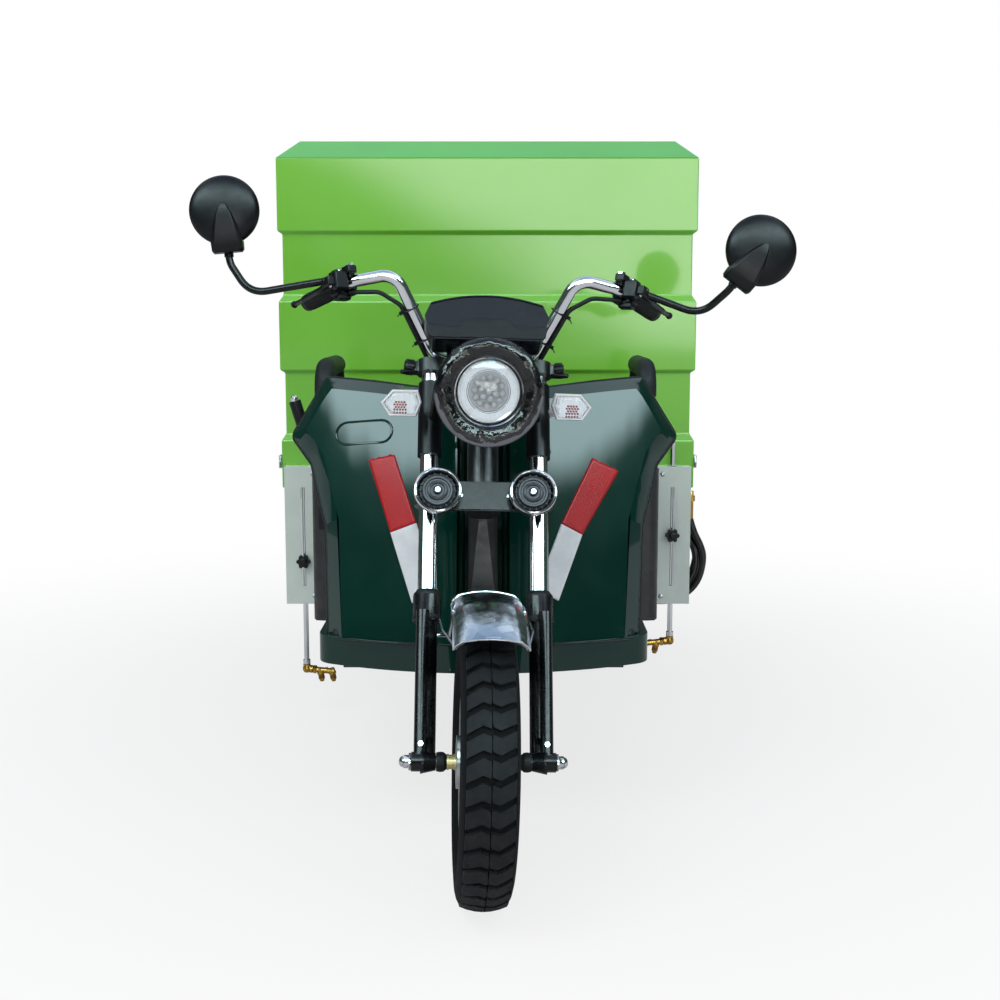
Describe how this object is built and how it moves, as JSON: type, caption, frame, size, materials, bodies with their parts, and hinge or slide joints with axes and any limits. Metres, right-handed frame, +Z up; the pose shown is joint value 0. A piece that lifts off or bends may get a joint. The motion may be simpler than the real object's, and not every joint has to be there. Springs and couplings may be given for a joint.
{
  "type": "electric sanitation tricycle",
  "caption": "Three-wheeled electric street-washing vehicle with a closed ribbed box, rear doors, slotted nozzle bars, a hose coil and a fork-steered front wheel.",
  "frame": {"origin": "on the ground under the centre of the whole object's box", "axes": "+Z up, +Y towards the rear, +X towards the vehicle's left side"},
  "size_m": [1.1588, 2.9994, 1.4779],
  "materials": {
    "green_box_paint": "gloss",
    "dark_green_paint": "gloss",
    "black_paint": "satin",
    "black_plastic": "satin",
    "chrome": "polished",
    "zinc_steel": "satin",
    "plate_paint": "satin",
    "brass": "satin",
    "tyre_rubber": "matte",
    "grip_rubber": "matte",
    "lamp_glass": "polished",
    "tail_lamp_red": "gloss",
    "seat_vinyl": "satin",
    "tank_plastic": "satin"
  },
  "bodies": {
    "frame": {"main_frame": "black_paint", "leg_shield": "dark_green_paint", "floor_pan": "dark_green_paint", "seat_base": "black_paint", "seat_cushion": "seat_vinyl", "seat_backrest": "seat_vinyl", "backrest_posts": "black_paint", "armrests": "black_plastic", "battery_pack": "black_plastic", "parking_brake_lever": "black_plastic", "brake_pedal": "black_paint", "rear_axle": "black_paint", "leaf_springs": "black_paint", "spring_pins": "black_paint", "rear_mudguards": "black_paint", "box_front_panel": "green_box_paint", "box_side_panels": "green_box_paint", "box_floor": "black_paint", "box_roof": "green_box_paint", "door_hinge_brackets": "black_paint", "water_tank": "tank_plastic", "pump_set": "black_paint", "nozzle_plates": "plate_paint", "hose_coil": "grip_rubber", "hose_lead": "grip_rubber", "hose_coupling": "brass", "hose_hanger": "black_paint", "hose_union": "brass", "rear_bumper": "black_paint", "tail_lamps": "tail_lamp_red"},
    "steering": {"fork_lower_legs": "black_paint", "fork_stanchions": "chrome", "fork_yokes": "black_paint", "fork_covers": "black_plastic", "front_axle": "zinc_steel", "front_fender": "chrome", "headlamp_shell": "black_plastic", "headlamp_lens": "lamp_glass", "disc_horns": "chrome", "front_indicators": "lamp_glass", "instrument_pod": "black_plastic", "handlebar": "chrome", "handlebar_grips": "grip_rubber", "handlebar_controls": "black_plastic", "control_cables": "black_plastic", "mirror_arms": "chrome", "mirror_heads": "black_plastic"},
    "front_wheel": {"front_tyre": "tyre_rubber", "front_rim": "black_paint"},
    "rear_wheel_left": {"rear_tyre_left": "tyre_rubber", "rear_rim_left": "black_paint"},
    "rear_wheel_right": {"rear_tyre_right": "tyre_rubber", "rear_rim_right": "black_paint"},
    "rear_door_left": {"rear_door_left": "green_box_paint"},
    "rear_door_right": {"rear_door_right": "green_box_paint"},
    "filler_lid": {"filler_lid": "green_box_paint"},
    "nozzle_bar_left": {"nozzle_bar_left": "zinc_steel"},
    "nozzle_bar_right": {"nozzle_bar_right": "zinc_steel"}
  },
  "joints": [
    {"name": "steering", "type": "hinge", "parent": "frame", "child": "steering", "pos_m": [0, -0.9171, 0.78179], "axis": [0, 0.4226, 0.9063], "range_deg": [-42, 34]},
    {"name": "front_wheel_spin", "type": "hinge", "parent": "steering", "child": "front_wheel", "pos_m": [0.0053, -1.24783, 0.25192], "axis": [0.9976, 0.0632, -0.0295], "continuous": true},
    {"name": "rear_left_spin", "type": "hinge", "parent": "frame", "child": "rear_wheel_left", "pos_m": [0.42, 0.762, 0.252], "axis": [1, 0, 0], "continuous": true},
    {"name": "rear_right_spin", "type": "hinge", "parent": "frame", "child": "rear_wheel_right", "pos_m": [-0.42, 0.762, 0.252], "axis": [1, 0, 0], "continuous": true},
    {"name": "rear_door_left_hinge", "type": "hinge", "parent": "frame", "child": "rear_door_left", "pos_m": [0.537, 1.39, 0.98], "axis": [0, 0, -1], "range_deg": [0, 115]},
    {"name": "rear_door_right_hinge", "type": "hinge", "parent": "frame", "child": "rear_door_right", "pos_m": [-0.537, 1.39, 0.98], "axis": [0, 0, 1], "range_deg": [0, 115]},
    {"name": "filler_lid_hinge", "type": "hinge", "parent": "frame", "child": "filler_lid", "pos_m": [0, 0.564, 1.472], "axis": [-1, 0, 0], "range_deg": [0, 100]},
    {"name": "nozzle_left_slide", "type": "slide", "parent": "frame", "child": "nozzle_bar_left", "axis": [0, 0, 1], "range_m": [-0.127, 0.117]},
    {"name": "nozzle_right_slide", "type": "slide", "parent": "frame", "child": "nozzle_bar_right", "axis": [0, 0, 1], "range_m": [-0.06, 0.184]}
  ]
}
